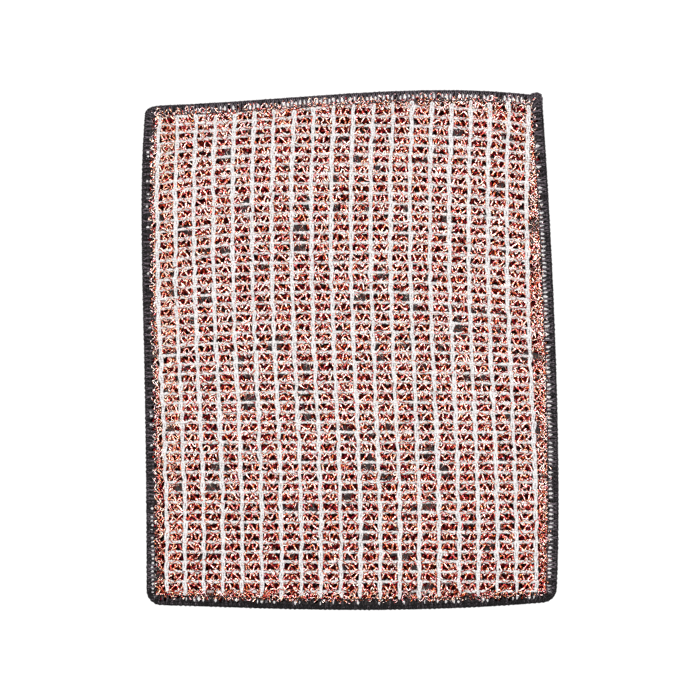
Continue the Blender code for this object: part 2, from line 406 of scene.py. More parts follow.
def counted(curve, count):
    return wire("GeometryNodeResampleCurve", {0: curve, 2: count}, mode="COUNT")[0]


def guideCurve(size):
    return wire("GeometryNodeMeshToCurve", {0: size["guide"]})[0]


def rotated(x, y, z):
    return wire("FunctionNodeEulerToRotation", {0: join(x, y, z)})[0]


def scattered(points, shape, rotation, scale):
    values = {0: points, 2: shape, 5: rotation, 6: scale}
    return wire("GeometryNodeInstanceOnPoints", values)[0]


def tube(curve, radius, sides, swell=1.0):
    # a closed tube along a curve, carrying how far round and how far along each point is
    unit = wire("ShaderNodeVectorMath", {0: position()}, operation="NORMALIZE")[0]
    ring = stored(circle(sides, radius), "round", unit, "FLOAT_VECTOR")
    curve = stored(curve, "along", wire("GeometryNodeSplineParameter")[1])
    return wire("GeometryNodeCurveToMesh", {0: curve, 1: ring, 2: swell, "Fill Caps": True})[0]


wholeNumbers = ("plies", "points", "seed", "sides", "stitches")


def newTree(name, labels):
    # a Geometry Nodes tree with a guide and named sizes coming in, and a plain mesh going out
    tree = bpy.data.node_groups.new(name, "GeometryNodeTree")
    tree.interface.new_socket("guide", in_out="INPUT", socket_type="NodeSocketGeometry")
    for label in labels.split():
        kind = "NodeSocketInt" if label in wholeNumbers else "NodeSocketFloat"
        tree.interface.new_socket(label, in_out="INPUT", socket_type=kind)
    tree.interface.new_socket("made", in_out="OUTPUT", socket_type="NodeSocketGeometry")
    bench["tree"] = tree
    return wire("NodeGroupInput")


def endTree(geometry, material):
    whole = wire("GeometryNodeRealizeInstances", {0: geometry})[0]
    rounded = wire("GeometryNodeSetShadeSmooth", {0: whole})[0]
    painted = wire("GeometryNodeSetMaterial", {0: rounded, "Material": material})[0]
    link(painted, bench["tree"].nodes.new("NodeGroupOutput").inputs[0])
    return bench["tree"]


def newObject(name, data):
    made = bpy.data.objects.new(name, data)
    bpy.context.scene.collection.objects.link(made)
    return made


def meshOf(name, bm):
    mesh = bpy.data.meshes.new(name)
    bm.to_mesh(mesh)
    bm.free()
    return mesh


def finished(piece):
    # a piece's mesh with its modifiers applied
    graph = bpy.context.evaluated_depsgraph_get()
    return bpy.data.meshes.new_from_object(piece.evaluated_get(graph), depsgraph=graph)


def coated(mesh, material):
    mesh.materials.append(material)
    for face in mesh.polygons:
        face.use_smooth = True


def guideLines(name, lines, closed=False):
    # open or closed polylines as a bare mesh of edges, for a tree to follow
    verts = []
    edges = []
    for line in lines:
        first = len(verts)
        verts += line
        edges += [(first + n, first + n + 1) for n in range(len(line) - 1)]
        if closed:
            edges.append((len(verts) - 1, first))
    mesh = bpy.data.meshes.new(name)
    mesh.from_pydata(verts, edges, [])
    return newObject(name, mesh)


def guidePoints(name, spots):
    # single points, each with its place, how far its shape is turned and how far it is stretched
    guide = guideLines(name, [[spot[:3]] for spot in spots])
    carry(guide, "turn", [spot[3] for spot in spots])
    carry(guide, "stretch", [spot[4] for spot in spots])
    return guide


def carry(guide, label, values):
    guide.data.attributes.new(label, "FLOAT", "POINT").data.foreach_set("value", values)


def grow(name, guide, tree, sizes, slotName, *nodes):
    # runs a tree on a guide and settles its result as a plain mesh
    modifier = guide.modifiers.new(tree.name, "NODES")
    modifier.node_group = tree
    for item in tree.interface.items_tree:
        if item.in_out == "INPUT" and item.name in sizes:
            modifier[item.identifier] = sizes[item.name]
    mesh = finished(guide)
    guide.modifiers.remove(modifier)
    bpy.data.objects.remove(guide)
    mesh.name = name
    print(name, "has", sum(len(face.vertices) - 2 for face in mesh.polygons), "triangles")
    settle(newObject(name, mesh), slotName, *nodes)


def sizesOn(face, surface, piece, **changes):
    # a piece's sizes on one face of the cloth, where it lies sunk under a surface
    level = face[surface] - face["out"] * piece["sunk"]
    return {**piece, "level": level, "seed": piece["seed"] + face["seedShift"], **changes}


def settle(piece, slotName, *nodes):
    # puts a finished piece on the cloth's body, in place of these solids
    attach(piece, "root")
    if nodes:
        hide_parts(*nodes)
    return piece


# Helpers for materials. The scale of a grain is how many of its waves go into a metre.
def newMaterial(name, shine):
    # a Principled material, with its constants set on the shader's own sockets, and its Object coordinates
    made = bpy.data.materials.new(name)
    made.use_nodes = True
    shader = made.node_tree.nodes["Principled BSDF"]
    for socket, value in shine.items():
        shader.inputs[socket].default_value = value
    bench["tree"] = made.node_tree
    return made, shader, wire("ShaderNodeTexCoord")["Object"]


def attribute(label):
    return wire("ShaderNodeAttribute", attribute_name=label)


def tones(value, stops, colours):
    # a colour ramp, with the place of each linear colour
    out = wire("ShaderNodeValToRGB", {0: value})[0]
    band = out.node.color_ramp
    while len(band.elements) < len(stops):
        band.elements.new(0.5)
    for element, place, colour in zip(band.elements, stops, colours):
        element.position = place
        element.color = (*colour, 1.0)
    return out


def mixColours(share, first, second, way="MIX"):
    values = {0: share, 6: first, 7: second}
    return wire("ShaderNodeMix", values, data_type="RGBA", blend_type=way)[2]


def grain(place, scale, detail=2.0, rough=0.6):
    return wire("ShaderNodeTexNoise", {0: place, 2: scale, 3: detail, 4: rough})[0]


def finish(shader, colour, height, distance):
    # gives a shader its colour and its bump
    link(colour, shader.inputs["Base Color"])
    values = {"Height": height, "Distance": distance, "Strength": 1.0}
    link(wire("ShaderNodeBump", values)[0], shader.inputs["Normal"])


def twist(lay):
    # a ridge that winds round a thread once in each lay, from the attributes its tube carries
    around = split(attribute("round")[1])
    angle = times(attribute("along")[2], fullTurn / lay)
    first = times(around[1], calc("COSINE", angle))
    return timesPlus(around[0], calc("SINE", angle), first)


yarnLook = {
    "shine": {"Roughness": 0.72, "Sheen Weight": 0.25, "Sheen Roughness": 0.5, "Specular IOR Level": 0.35},
    "colours": ((0.64, 0.60, 0.60), (0.985, 0.96, 0.96)),
    "stops": (0.38, 0.53),
    "lay": 0.9 * mm,
    "fuzz": 2300.0,
    "clouds": 700.0,
    # the plies' share darkens the valleys between the plies, painted shade
    "shares": (0.6, 0.4, 0.09),  # what the fuzz, the clouds and the plies have in the colour
    "relief": 0.35,
    "bump": 0.10 * mm,
}


def makeYarn(look):
    made, shader, place = newMaterial("white yarn", look["shine"])
    ridge = twist(look["lay"])
    fuzz = grain(place, look["fuzz"])
    fuzzShare, cloudShare, plyShadeShare = look["shares"]
    clouds = grain(place, look["clouds"])
    # the twist valleys between the plies are painted darker as painted shade
    level = timesPlus(clouds, cloudShare, times(ridge, plyShadeShare))
    level = timesPlus(fuzz, fuzzShare, level)
    colour = tones(level, look["stops"], look["colours"])
    height = timesPlus(ridge, look["relief"], fuzz)
    finish(shader, colour, height, look["bump"])
    return made


copperLook = {
    "shine": {"Metallic": 0.96, "Roughness": 0.26, "Specular IOR Level": 0.5},
    # the near-black reds stand for painted shade and the near-white pinks and creams for a painted highlight;
    # the reds and oranges between are the metal's own colour
    "stops": (0.10, 0.33, 0.575, 0.765),  # how bright a spot is where each of the four colours is reached
    "rosy": ((0.060, 0.001, 0.008), (0.39, 0.005, 0.024), (1.0, 0.150, 0.155), (1.0, 0.90, 0.94)),
    "golden": ((0.056, 0.005, 0.003), (0.37, 0.032, 0.006), (1.0, 0.31, 0.072), (1.0, 0.94, 0.80)),
    "tint": 1250.0,  # grain of the drift from rosy to golden, and where it starts and ends
    "tintStops": (0.40, 0.60),
    # painted light along a stroke: a painted highlight at its turns and painted shade halfway up the cell
    "light": (0.66, -0.06, 0.40),  # halfway up a stroke, what its head loses to its foot, and what both gain
    "patches": (850.0, 1.2, -0.59),  # grain, strength and shift
    "specks": (2200.0, 1.5, -0.75),
    "gold": (0.90, 0.76, 0.62),
    "goldShare": 0.6,
    "goldColumn": (-62.0 * mm, 2.6 * mm, 4.8 * mm),  # its middle, and where the tint starts and stops fading
    "bottomDarkening": -0.10,  # how much duller it is along the bottom, and between which heights that fades out
    "bottomDarkeningFade": (-80.0 * mm, -28.0 * mm),
    "crumple": 3500.0,
    "bump": 0.04 * mm,
}


def makeCopper(look):
    # each strand is painted bright along its middle as a painted highlight and deep red at its turned-down
    # edges as painted shade, as the value on its ridge says
    made, shader, place = newMaterial("copper tinsel", look["shine"])
    x, y = split(place)[:2]
    # a strand is painted brightest where it turns, most of all at the foot of its cell, as a painted
    # highlight, and painted dull halfway up as painted shade
    swing = attribute("swing")[2]
    halfway, head, ends = look["light"]
    light = timesPlus(calc("ABSOLUTE", swing), ends, timesPlus(swing, head, halfway))
    scale, strength, shift = look["patches"]
    patches = timesPlus(grain(place, scale), strength, shift)
    # darker towards the bottom of the cloth
    patches = plus(patches, ramp(y, *look["bottomDarkeningFade"], look["bottomDarkening"], 0.0))
    scale, strength, shift = look["specks"]
    specks = timesPlus(grain(place, scale, detail=1.0), strength, shift)
    level = timesPlus(attribute("core")[2], light, plus(patches, specks))
    # the metal wanders between a rosy and a golden tint
    rosy, golden = (tones(level, look["stops"], look[tint]) for tint in ("rosy", "golden"))
    drift = ramp(grain(place, look["tint"]), *look["tintStops"], 0.0, 1.0)
    colour = mixColours(drift, rosy, golden)
    # the outermost column on the left is more golden
    middle, inner, outer = look["goldColumn"]
    away = calc("ABSOLUTE", calc("SUBTRACT", x, middle))
    share = ramp(away, inner, outer, look["goldShare"], 0.0)
    colour = mixColours(share, colour, (*look["gold"], 1.0), "MULTIPLY")
    finish(shader, colour, grain(place, look["crumple"]), look["bump"])
    return made


liningLook = {
    "shine": {"Roughness": 0.8, "Sheen Weight": 0.2, "Specular IOR Level": 0.3},
    "colours": ((0.030, 0.025, 0.025), (0.105, 0.094, 0.094)),
    "stops": (0.35, 0.75),
    "stitch": 0.85 * mm,  # width of a knitted loop, how far its legs slant, and how close the rows are
    "slant": 0.3,
    "rows": 1.3,
    "relief": 0.25,
    "fuzz": 2600.0,
    "shares": (0.6, 0.5),  # what the fuzz and the loops have in the colour and the bump
    "bump": 0.12 * mm,
}


def makeLining(look):
    made, shader, place = newMaterial("dark lining", look["shine"])
    x, y = split(place)[:2]
    # rows of small knitted loops
    turn = fullTurn / look["stitch"]
    across = calc("SINE", times(x, turn))
    shift = times(calc("ABSOLUTE", across), look["slant"] * look["stitch"])
    up = calc("SINE", times(plus(y, shift), turn * look["rows"]))
    relief = look["relief"]
    loops = timesPlus(up, relief, timesPlus(across, relief, 0.5))
    fuzz = grain(place, look["fuzz"], detail=3.0)
    fuzzShare, loopShare = look["shares"]
    height = timesPlus(fuzz, fuzzShare, times(loops, loopShare))
    colour = tones(height, look["stops"], look["colours"])
    finish(shader, colour, height, look["bump"])
    return made


blackLook = {
    "shine": {"Roughness": 0.48, "Sheen Weight": 0.03, "Sheen Roughness": 0.4, "Specular IOR Level": 0.22},
    "dark": (0.003, 0.002, 0.003),
    # the thread's own colour is the near black; its paler colour, reached in fine specks, is painted sheen
    "threadPaintedSheen": (0.230, 0.185, 0.215),
    # the band's paler colour stays nearly black, painted shade in the gaps between the stitches
    "bandPaintedShade": (0.010, 0.008, 0.009),
    "stops": (0.50, 0.72),
    # how much paler the thread is painted along the top as painted light and darker along the bottom
    # as painted shade, and between which heights that comes in or fades out
    "paintedTopLight": 0.06,
    "paintedTopLightRise": (80 * mm, 87 * mm),
    "paintedBottomShade": -0.10,
    "paintedBottomShadeFade": (-86 * mm, -78 * mm),
    "tone": 0.16,  # how much more light one stitch may catch than another
    "specks": 2200.0,
    "speckRoughness": 0.7,
    "fuzz": 3000.0,
    "relief": 0.4,
    "lay": 0.7 * mm,
    "bump": 0.10 * mm,
}


def makeBlack(name, light, look=blackLook):
    made, shader, place = newMaterial(name, look["shine"])
    y = split(place)[1]
    # painted light makes the top side paler and painted shade makes the bottom side darker
    paintedTopLight = ramp(y, *look["paintedTopLightRise"], 0.0, look["paintedTopLight"])
    paintedBottomShade = ramp(y, *look["paintedBottomShadeFade"], look["paintedBottomShade"], 0.0)
    # fine pale specks on the thread, painted sheen
    specks = grain(place, look["specks"], rough=look["speckRoughness"])
    level = plus(specks, plus(paintedTopLight, paintedBottomShade))
    level = timesPlus(attribute("tone")[2], look["tone"], level)
    colour = tones(level, look["stops"], (look["dark"], light))
    fuzz = grain(place, look["fuzz"])
    height = timesPlus(twist(look["lay"]), look["relief"], fuzz)
    finish(shader, colour, height, look["bump"])
    return made


whiteYarn = makeYarn(yarnLook)
copperTinsel = makeCopper(copperLook)
darkLining = makeLining(liningLook)
blackThread = makeBlack("black thread", blackLook["threadPaintedSheen"])
# a darker copy of the black thread for the band, painted shade under the stitches
shadedBlackBand = makeBlack("black band in painted shade", blackLook["bandPaintedShade"])
print("materials made")


# The lining is a soft knitted sheet that rises and falls a little between the two nets
lining = {
    "inset": 1.0 * mm,
    "cell": 1.5 * mm,
    "ripple": 0.10 * mm,
    "broadWaves": (900, 760),  # across and along the cloth, in radians a metre
    "fineWaves": (2100, 600, 1900),
    "fineShare": 0.5,
    "thickness": 0.30 * mm,
    "lastPhase": 6.28,
    "seed": 41,
}


def makeLiningSheet(name):
    rng = random.Random(lining["seed"])
    phases = [rng.uniform(0, lining["lastPhase"]) for _ in range(4)]
    middle = (liningLow.z + liningHigh.z) / 2
    rows = int(cloth["length"] / lining["cell"])
    columns = int(cloth["width"] / lining["cell"])
    bm = bmesh.new()
    grid = []
    for row in range(rows + 1):
        line = []
        for column in range(columns + 1):
            across = (column / columns - 0.5) * (cloth["width"] - 2 * lining["inset"])
            along = (row / rows - 0.5) * (cloth["length"] - 2 * lining["inset"])
            x, y = pulled(*roundedIn(across, along, lining["inset"]))
            z = middle + rippled(x, y, phases) * lining["ripple"] / (1 + lining["fineShare"])
            line.append(bm.verts.new((x - clothCentre[0], y - clothCentre[1], z)))
        grid.append(line)
    for low, high in zip(grid, grid[1:]):
        for n in range(columns):
            bm.faces.new((low[n], low[n + 1], high[n + 1], high[n]))
    made = newObject(name, meshOf(name, bm))
    thicken = made.modifiers.new("thickness", "SOLIDIFY")
    thicken.thickness = lining["thickness"]
    thicken.offset = 0.0
    solid = finished(made)
    made.modifiers.remove(thicken)
    made.data = solid
    coated(solid, darkLining)
    return made


def rippled(x, y, phases):
    across, along = lining["broadWaves"]
    wave = math.sin(x * across + phases[0]) * math.sin(y * along + phases[1])
    across, skew, along = lining["fineWaves"]
    fine = math.sin(x * across + phases[2] + y * skew)
    return wave + lining["fineShare"] * fine * math.sin(y * along + phases[3])


def roundedIn(x, y, inset):
    # draws the corners of a rectangle's grid in to the rounded outline
    halfX = cloth["width"] / 2 - inset
    halfY = cloth["length"] / 2 - inset
    corner = (0 if y < 0 else 3) if x < 0 else (1 if y < 0 else 2)
    radiusX, radiusY = cornerRadii(corner, inset)
    overX = (abs(x) - halfX + radiusX) / radiusX
    overY = (abs(y) - halfY + radiusY) / radiusY
    if overX > 0 and overY > 0:
        reach = max(overX, overY) / math.hypot(overX, overY)
        x = math.copysign(halfX - radiusX + overX * reach * radiusX, x)
        y = math.copysign(halfY - radiusY + overY * reach * radiusY, y)
    return x, y


liningSheet = settle(makeLiningSheet("core_lining_sheet"), "dark_lining", "core_lining")
print("lining made")


# Copper tinsel: strands that zigzag in the cells between the courses, thick on both faces
tinsel = {
    "ridge": 0.28,  # height of the ridge along a strand, whose section is a flattened triangle
    "triangle": 0.577,  # radius of that triangle, of its side
    "crinkle": 0.30 * mm,
    "crinkleSize": 1300.0,
    "twist": 0.7,
    "twistSize": 700.0,
    "swell": 0.3,
    # where this slow noise is low, the strands are drawn thin, which leaves a cell open
    "openSize": 190.0,
    "openSeed": 5.0,
    "openStops": (-0.60, -0.44),
    "openWidth": 0.10,
    "guideStep": 4 * mm,
    # sizes of each kind of strand in mm, the height above its net among them, then how bright the
    # painted highlight along its middle is and its seed
    "columns": "stroke riseLow riseHigh sideways height levelSpread width fineStep",
    # where in the cell each layer runs (0 on a course, 0.5 halfway up) and how far in from the rim
    # (mm), then its sizes: the full upper curls, a lower layer painted dim as painted shade, the
    # teeth that hang from each course and the loose wisps on top
    "layers": {
        "upper": (0.50, 3.6, 1.75, 0.65, 1.90, 0.95, 0.20, 0.25, 1.40, 0.62, 0.98, 100),
        "lower": (0.52, 3.0, 1.05, 0.30, 1.80, 0.70, -0.15, 0.12, 1.90, 0.90, 0.27, 150),
        "teeth": (0.00, 4.3, 0.95, 0.50, 1.60, 0.50, 0.15, 0.12, 1.12, 0.72, 1.03, 300),
        "wisps": (0.00, 4.9, 2.10, 0.15, 1.00, 0.80, 1.05, 0.15, 0.46, 0.75, 0.97, 200),
    },
    # strands that run along inside the rim, filling the margin
    "margin": (1.50, 0.40, 1.25, 0.70, 0.00, 0.15, 0.80, 0.65, 1.06, 250),
    # for each side: distance in from the rim and height above the net (mm); the last of the left
    # fill the first column of cells
    "marginRuns": {
        "left": ((3.45, 0.6), (4.0, 0.75), (4.5, 0.6), (8.3, 0.3), (9.9, 0.3)),
        "bottom": ((3.3, 0.55), (3.8, 0.65), (4.25, 0.45)),
        "right": ((3.4, 0.3), (4.1, 0.5), (4.7, 0.3), (5.5, 0.3)),
        "top": ((2.0, 0.7), (2.8, 0.7), (3.6, 0.55), (4.1, 0.5)),
    },
    "backSeed": 7,
}


def makeTinselTree():
    # a flat metal strand that zigzags along each guide line, up and down by uneven strokes
    labels = "stroke riseLow riseHigh sideways level levelSpread width ridge fineStep crinkle twist core"
    size = newTree("tinsel strands", labels + " facing seed")
    seeds = manySeeds(size, step=11.0, count=4)
    curve = stepped(guideCurve(size), size["stroke"])
    along = tangent()
    side = vector("CROSS_PRODUCT", (0.0, 0.0, 1.0), along)
    index = wire("GeometryNodeInputIndex")[0]
    sign = timesPlus(calc("MODULO", index, 2.0), 2.0, -1.0)
    rise = times(sign, chance(size["riseLow"], size["riseHigh"], seeds[0]))
    slide = eitherWay(size["sideways"], seeds[1])
    lift = plus(size["level"], eitherWay(size["levelSpread"], seeds[2]))
    offset = vector("ADD", scaled(side, rise), scaled(along, slide))
    offset = vector("ADD", offset, join(z=lift))
    curve = stored(curve, "swing", calc("DIVIDE", rise, size["riseHigh"]))
    curve = moved(curve, offset)
    curve = wire("GeometryNodeCurveSplineType", {0: curve}, spline_type="CATMULL_ROM")[0]
    curve = stepped(curve, size["fineStep"])
    place = position()
    crinkle = drifting(place, tinsel["crinkleSize"], size["seed"])
    curve = moved(curve, scaled(crinkle, size["crinkle"]))
    curve = wire("GeometryNodeSetCurveNormal", {0: curve}, mode="Z_UP")[0]
    waves = split(drifting(place, tinsel["twistSize"], seeds[3]))
    tilt = times(waves[0], size["twist"])
    curve = wire("GeometryNodeSetCurveTilt", {0: curve, 2: tilt})[0]
    thin = split(drifting(place, tinsel["openSize"], tinsel["openSeed"]))[0]
    thin = ramp(thin, *tinsel["openStops"], tinsel["openWidth"], 1.0)
    thick = times(uneven(waves[1], tinsel["swell"]), thin)
    # a foil strip with a low ridge along its middle, which faces up or down
    strip = circle(3, times(size["width"], tinsel["triangle"]))
    # the ridge point carries the painted highlight for the copper's colour; the two edge points carry none,
    # which paints the edges in shade
    corner = split(position())[0]
    core = times(calc("GREATER_THAN", corner, 0.0), size["core"])
    strip = stored(strip, "core", core)
    turned = join(z=times(size["facing"], -math.pi / 2))
    flat = join(size["ridge"], 1.0, 1.0)
    strip = wire("GeometryNodeTransform", {0: strip, 2: turned, 3: flat})[0]
    values = {0: curve, 1: strip, 2: thick, "Fill Caps": True}
    return endTree(wire("GeometryNodeCurveToMesh", values)[0], copperTinsel)


def rowGuides(name, border, place):
    # a line along each row of cells, from rim to rim
    lines = []
    for row in range(-1 if place else 0, cloth["courses"]):
        course = row + place
        ends = []
        for side in (0, 1):
            x = (side - 0.5) * cloth["width"]
            for _ in range(4):  # a few rounds find where a drooping course meets the rim
                found = crossings(border, courseY(course, x), 1)
                x = found[side] if found else x
            ends.append(x)
        lines.append(courseLine(course, ends[0], ends[1], tinsel["guideStep"]))
    return guideLines(name, lines)


def tinselSizes(face, values):
    *lengths, core, seed = values
    sizes = {label: length * mm for label, length in zip(tinsel["columns"].split(), lengths)}
    sizes["level"] = face["net"] + face["out"] * sizes["height"]
    sizes["core"] = core
    sizes["facing"] = float(face["out"])
    sizes["seed"] = seed + (tinsel["backSeed"] if face["out"] < 0 else 0)
    return {**tinsel, **sizes}


tinselTree = makeTinselTree()
for side, face in faces.items():
    for layer, (place, inset, *values) in tinsel["layers"].items():
        name = side + "_tinsel_" + layer
        guide = rowGuides(name + "_guide", outline(inset * mm), place)
        grow(name, guide, tinselTree, tinselSizes(face, values), "copper_tinsel", side + "_copper_net")
    name = side + "_tinsel_margin"
    runs = []
    for edge, places in tinsel["marginRuns"].items():
        for inset, height in places:
            runs += sideRuns(inset * mm, edge, face["out"] * height * mm)
    sizes = tinselSizes(face, tinsel["margin"])
    grow(name, guideLines(name + "_guide", runs), tinselTree, sizes, "copper_tinsel", side + "_copper_net")
print("copper tinsel made")


# White course threads, which run from the first chain to the last on both faces
courseThread = {
    "step": 0.9 * mm,
    "radius": 0.35 * mm,
    "plies": 2,
    "plyOffset": 0.29 * mm,
    "lay": 3.1 * mm,
    "wander": 0.22 * mm,
    "wanderSize": 480.0,
    "swell": 0.25,
    "swellSize": 600.0,
    "plyShift": 1.3,  # how far apart the wander of its plies is
    "sides": 5,
    "seed": 3,
    "sunk": 0.25 * mm,  # how far its middle lies under the top of its solid
    "past": 0.3 * mm,  # how far it runs past the outer chains
    "guideStep": 4 * mm,
    "endStep": 2.3 * mm,  # the first and last thread dip under the copper at places this far apart
    "dips": (0.0, 0.5 * mm, 1.0 * mm),
    "dipSeed": 37,
}


def makeYarnTree(name, material):
    # a thread of several plies laid round each other along each guide line, with an uneven run
    labels = "step radius plies plyOffset lay wander wanderSize level sides seed"
    size = newTree(name, labels)
    curve = stepped(guideCurve(size), size["step"])
    copies = wire("GeometryNodeDuplicateElements", {0: curve, 2: size["plies"]}, domain="SPLINE")
    ply = calc("DIVIDE", copies[1], size["plies"])
    length = wire("GeometryNodeSplineParameter")[1]
    angle = times(plus(calc("DIVIDE", length, size["lay"]), ply), fullTurn)
    side = vector("CROSS_PRODUCT", (0.0, 0.0, 1.0), tangent())
    out = times(calc("COSINE", angle), size["plyOffset"])
    up = times(calc("SINE", angle), size["plyOffset"])
    place = position()
    wave = drifting(place, size["wanderSize"], size["seed"], times(ply, courseThread["plyShift"]))
    offset = vector("ADD", scaled(side, out), scaled(wave, size["wander"]))
    offset = vector("ADD", offset, join(z=plus(up, size["level"])))
    waves = split(drifting(place, courseThread["swellSize"], size["seed"], ply))
    thread = moved(copies[0], offset)
    swell = uneven(waves[1], courseThread["swell"])
    return endTree(tube(thread, size["radius"], size["sides"], swell), material)


def courseGuides(name, out):
    rng = random.Random(courseThread["dipSeed"])
    lines = []
    for course in range(cloth["courses"]):
        level = courseY(course, 0.0)
        start = chainX(0, level) - courseThread["past"]
        end = chainX(cloth["chains"] - 1, level) + courseThread["past"]
        outermost = course in (0, cloth["courses"] - 1)
        line = courseLine(course, start, end, courseThread["endStep" if outermost else "guideStep"])
        if outermost:
            line = [(x, y, z - out * rng.choice(courseThread["dips"])) for x, y, z in line]
        lines.append(line)
    return guideLines(name, lines)


whiteTree = makeYarnTree("white threads", whiteYarn)
blackTree = makeYarnTree("black threads", blackThread)
for side, face in faces.items():
    name = side + "_course_yarn"
    guide = courseGuides(name + "_guide", face["out"])
    grow(name, guide, whiteTree, sizesOn(face, "thread", courseThread), "white_yarn", side + "_course_thread")
print("course threads made")


# Chain stitches: a linked loop for each course, up every chain of both faces
chainStitch = {
    "length": 1.28,  # of the distance between courses
    "least": 0.35,  # of that distance, below which there is no loop
    "width": 1.64 * mm,
    "bellied": 1.15,
    "belly": 1.1,
    "radius": 0.36 * mm,
    "rise": 0.45 * mm,
    "sunk": 0.70 * mm,
    "stray": 0.22 * mm,
    "tips": (0.06, 0.15, 0.24),  # how far a loop may be turned about x, y and z
    "widths": (0.66, 1.20),
    "points": 14,
    "sides": 5,
    "seed": 21,
    "insets": (3.9 * mm, 4.4 * mm, 4.9 * mm),  # how far inside the rim a chain may end
    "insetSeed": 29,
}


def makeLinkTree():
    # one knitted loop at each guide point, a teardrop that rises from its foot to its head
    size = newTree("chain links", "length width radius level rise stray points sides seed")
    seeds = manySeeds(size, step=13.0, count=5)
    turn = loopTurn()
    belly = calc("ABSOLUTE", calc("SINE", times(turn, 0.5)))
    belly = calc("POWER", belly, chainStitch["belly"])
    across = times(calc("SINE", turn), belly)
    across = times(across, times(size["width"], 0.5))
    cosine = calc("COSINE", turn)
    up = times(cosine, times(size["length"], -0.5))
    height = times(cosine, times(size["rise"], -0.5))
    loop = shapedLoop(size, across, up, height)
    tipX, tipY, tipZ = chainStitch["tips"]
    lean = plus(carried("turn"), eitherWay(tipZ, seeds[0]))
    rotation = rotated(eitherWay(tipX, seeds[1]), eitherWay(tipY, seeds[2]), lean)
    scale = join(chance(*chainStitch["widths"], seeds[3]), carried("stretch"), 1.0)
    offset = join(eitherWay(size["stray"], seeds[4]), 0.0, size["level"])
    points = moved(size["guide"], offset)
    return endTree(scattered(points, loop, rotation, scale), whiteYarn)


def linkGuides(name):
    # a point for each loop, with the angle of its chain and how much the courses crowd there
    borders = [outline(inset) for inset in chainStitch["insets"]]
    rng = random.Random(chainStitch["insetSeed"])
    spots = []
    for chain in range(cloth["chains"]):
        border = rng.choice(borders)
        for course in range(-1, cloth["courses"]):
            x = chainX(chain, courseY(course + 0.5, chainX(chain, 0.0)))
            found = crossings(border, x, 0)
            low = max(courseY(course, x), found[0])
            high = min(courseY(course + 1, x), found[1])
            if high - low < chainStitch["least"] * coursePitch:
                continue
            y = (low + high) / 2
            turn = math.atan2(chainX(chain, low) - chainX(chain, high), high - low)
            spots.append((chainX(chain, y), y, 0.0, turn, (high - low) / coursePitch))
    return guidePoints(name, spots)


linkTree = makeLinkTree()
for side, face in faces.items():
    name = side + "_chain_stitches"
    length = chainStitch["length"] * coursePitch
    width = (chainStitch["width"] - 2 * chainStitch["radius"]) * chainStitch["bellied"]
    rise = face["out"] * chainStitch["rise"]
    sizes = sizesOn(face, "skin", chainStitch, length=length, width=width, rise=rise)
    nodes = [f"{side}_chain_{chain + 1:02d}" for chain in range(cloth["chains"])]
    grow(name, linkGuides(name + "_guide"), linkTree, sizes, "white_yarn", *nodes)
print("chain stitches made")


# Overlocked rim: a black band round the edge, stitches over it, and the threads along it
rim = {
    "stitches": 428,
    "depth": 3.75 * mm,
    "edge": 0.22 * mm,
    "spread": 0.42 * mm,
    "spreadFrom": 0.3 * mm,
    "bar": 0.12 * mm,
    "meet": 1.75 * mm,
    "flank": 2.5,
    "fall": 1.35 * mm,  # how far a stitch drops at the edge, and between which distances in
    "fallOver": (0.1 * mm, 1.1 * mm),
    "tuck": 0.18,  # of that fall, at its inner end, and over which distance
    "tuckOver": 0.6 * mm,
    "radius": 0.18 * mm,
    "sunk": 0.17 * mm,
    "lean": 0.16,
    "widths": (0.85, 1.15),
    "longest": 1.04,
    "raggedness": 0.14,
    "points": 22,
    "sides": 5,
    "seed": 31,
    "reach": {"left": 0.86, "bottom": 0.92, "right": 1.0, "top": 0.9},
    "bandUnder": 0.42 * mm,  # how far in the band lies from the rim's top and bottom, and from its edge
    "bandEdge": 0.24 * mm,
    # profile of the band (mm): distance in from the edge, and depth in from its top and its bottom
    "bandOutside": ((1.6, 0.0), (1.1, -0.10), (0.55, 0.15), (0.28, 0.7)),
    "bandInside": ((1.6, 0.3), (1.2, 0.4), (0.7, 0.9)),
    "edgeThreads": ((0.24, -1.2), (0.16, -0.45), (0.16, 0.4), (0.24, 1.15)),  # distance in and height (mm)
    "edgeSizes": {"plyOffset": 0.12 * mm},
    "needleInset": 3.65 * mm,
    "needleSunk": 0.2 * mm,
    "needleSizes": {"plyOffset": 0.16 * mm, "radius": 0.16 * mm, "seed": 63},
}


def makeRimBand(name):
    # a closed band wrapped round the edge, under the stitches, kept darker than the thread as painted shade
    # between them
    top, bottom = rimTop - rim["bandUnder"], rimBottom + rim["bandUnder"]
    profile = [(inset * mm, bottom + depth * mm) for inset, depth in rim["bandOutside"]]
    profile.append((rim["bandEdge"], rimMiddle))
    profile += [(inset * mm, top - depth * mm) for inset, depth in reversed(rim["bandOutside"])]
    profile += [(inset * mm, top - depth * mm) for inset, depth in rim["bandInside"]]
    profile += [(inset * mm, bottom + depth * mm) for inset, depth in reversed(rim["bandInside"])]
    bm = bmesh.new()
    loops = [[bm.verts.new(point) for point in ringAt(inset, level)] for inset, level in profile]
    for here, there in steps(loops):
        for (a, b), (c, d) in zip(steps(here), steps(there)):
            bm.faces.new((a, b, d, c))
    bmesh.ops.recalc_face_normals(bm, faces=bm.faces)
    mesh = meshOf(name, bm)
    coated(mesh, shadedBlackBand)
    return newObject(name, mesh)


